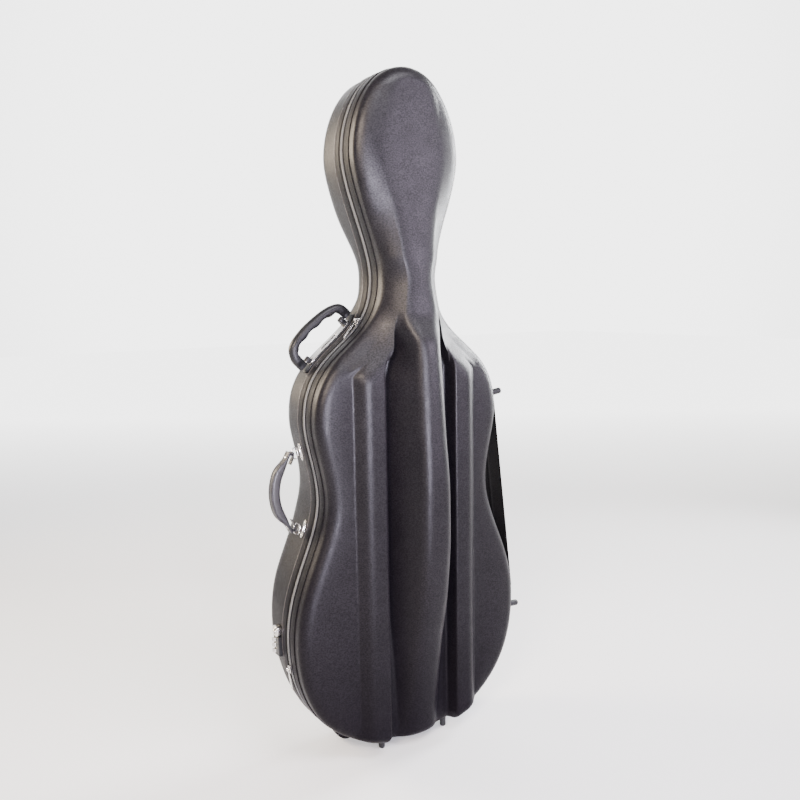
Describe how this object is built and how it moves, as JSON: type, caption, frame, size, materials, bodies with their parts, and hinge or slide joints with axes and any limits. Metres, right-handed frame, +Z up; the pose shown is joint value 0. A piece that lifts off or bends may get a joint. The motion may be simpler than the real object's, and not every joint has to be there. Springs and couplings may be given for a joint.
{
  "type": "cello case",
  "caption": "Hard case for a cello, standing on its tail, with a hinged ridged lid, zip closure, shoulder grip, leather side handle and combination lock.",
  "frame": {"origin": "middle of the bottom of the bounding box, on the floor the case stands on", "axes": "+Z up along the case's length, -Y to the lid's front, +X to the right as the lid is seen"},
  "size_m": [0.5589, 0.2774, 1.3524],
  "materials": {
    "shell": "coarse woven nylon over a stiff shell",
    "lining": "soft plush",
    "binding": "ribbed woven edging",
    "zip": "zip tape with a coil chain",
    "rubber": "smooth moulded",
    "steel": "bright nickel plate",
    "leather": "smooth",
    "lock": "satin",
    "foam": "plush over foam",
    "strap": "webbing",
    "plastic": "satin"
  },
  "bodies": {
    "base": {"base_shell": "shell", "base_foot_left": "shell", "base_foot_right": "shell", "base_lining": "lining", "base_binding": "binding", "base_hinge_panel": "binding", "base_zip_tape": "zip", "base_side_stud_lower": "rubber", "base_side_stud_upper": "rubber", "grip_pad": "rubber", "grip_lug_lower": "rubber", "grip_lug_upper": "rubber", "grip_plate": "steel", "strap_plate_lower": "steel", "strap_plate_upper": "steel", "lock_cap": "steel", "zip_slider_lower": "steel", "zip_slider_upper": "steel", "lock_body": "lock", "lower_pad_left": "foam", "lower_pad_right": "foam", "upper_pad_left": "foam", "upper_pad_right": "foam", "tail_pad": "foam", "neck_cradle": "foam", "neck_strap": "strap", "accessory_box": "plastic"},
    "lid": {"lid_shell": "shell", "lid_lining": "lining", "lid_binding": "binding", "lid_zip_tape": "zip", "lid_hinge_panel": "binding", "lid_side_stud_lower": "rubber", "lid_side_stud_upper": "rubber", "lid_tail_stud_left": "rubber", "lid_tail_stud_right": "rubber", "bow_post_left": "plastic", "bow_post_right": "plastic", "bow_tip_pocket_left": "strap", "bow_tip_pocket_right": "strap"},
    "grip": {"grip": "rubber", "grip_pin_lower": "steel", "grip_pin_upper": "steel"},
    "carry_strap": {"strap_handle": "leather", "strap_ring_lower": "steel", "strap_ring_upper": "steel", "strap_rivet_lower": "steel", "strap_rivet_upper": "steel"},
    "pull_lower": {"zip_pull_lower": "steel"},
    "pull_upper": {"zip_pull_upper": "steel"},
    "dial_1": {"lock_dial_1": "steel"},
    "dial_2": {"lock_dial_2": "steel"},
    "dial_3": {"lock_dial_3": "steel"},
    "button": {"lock_button": "steel"},
    "bow_clip_left": {"bow_clip_left": "plastic"},
    "bow_clip_right": {"bow_clip_right": "plastic"},
    "box_lid": {"accessory_lid": "plastic"}
  },
  "joints": [
    {"name": "lid_hinge", "type": "hinge", "parent": "base", "child": "lid", "pos_m": [0.22879, 0.00523, 0.534], "axis": [-0.1163, 0, 0.9932], "range_deg": [0, 100]},
    {"name": "grip_swing", "type": "hinge", "parent": "base", "child": "grip", "pos_m": [-0.14753, 0.04823, 0.83755], "axis": [0.7149, 0, 0.6992], "range_deg": [-60, 60]},
    {"name": "strap_swing", "type": "hinge", "parent": "base", "child": "carry_strap", "pos_m": [-0.21553, 0.04523, 0.54461], "axis": [0.0045, 0, 1], "range_deg": [-65, 65]},
    {"name": "pull_lower_swing", "type": "hinge", "parent": "base", "child": "pull_lower", "pos_m": [-0.26816, 0.00523, 0.20421], "axis": [0, 1, 0], "range_deg": [0, 150]},
    {"name": "pull_upper_swing", "type": "hinge", "parent": "base", "child": "pull_upper", "pos_m": [-0.10089, 0.00523, 0.8758], "axis": [0, 1, 0], "range_deg": [0, 150]},
    {"name": "dial_1_turn", "type": "hinge", "parent": "base", "child": "dial_1", "pos_m": [-0.27162, 0.05609, 0.22833], "axis": [-0.0268, 0, 0.9996], "continuous": true},
    {"name": "dial_2_turn", "type": "hinge", "parent": "base", "child": "dial_2", "pos_m": [-0.27193, 0.05609, 0.23983], "axis": [-0.0268, 0, 0.9996], "continuous": true},
    {"name": "dial_3_turn", "type": "hinge", "parent": "base", "child": "dial_3", "pos_m": [-0.27224, 0.05609, 0.25132], "axis": [-0.0268, 0, 0.9996], "continuous": true},
    {"name": "button_press", "type": "slide", "parent": "base", "child": "button", "axis": [0.9996, 0, 0.0268], "range_m": [0, 0.0016], "stiffness_N_per_m": 300, "springref_m": -0.001},
    {"name": "bow_clip_left_turn", "type": "hinge", "parent": "lid", "child": "bow_clip_left", "pos_m": [-0.13011, -0.01797, 0.235], "axis": [0, -1, 0], "range_deg": [-90, 90]},
    {"name": "bow_clip_right_turn", "type": "hinge", "parent": "lid", "child": "bow_clip_right", "pos_m": [0.11989, -0.01797, 0.235], "axis": [0, -1, 0], "range_deg": [-90, 90]},
    {"name": "box_lid_hinge", "type": "hinge", "parent": "base", "child": "box_lid", "pos_m": [-0.00511, 0.03571, 1.226], "axis": [-1, 0, 0], "range_deg": [0, 100]}
  ]
}
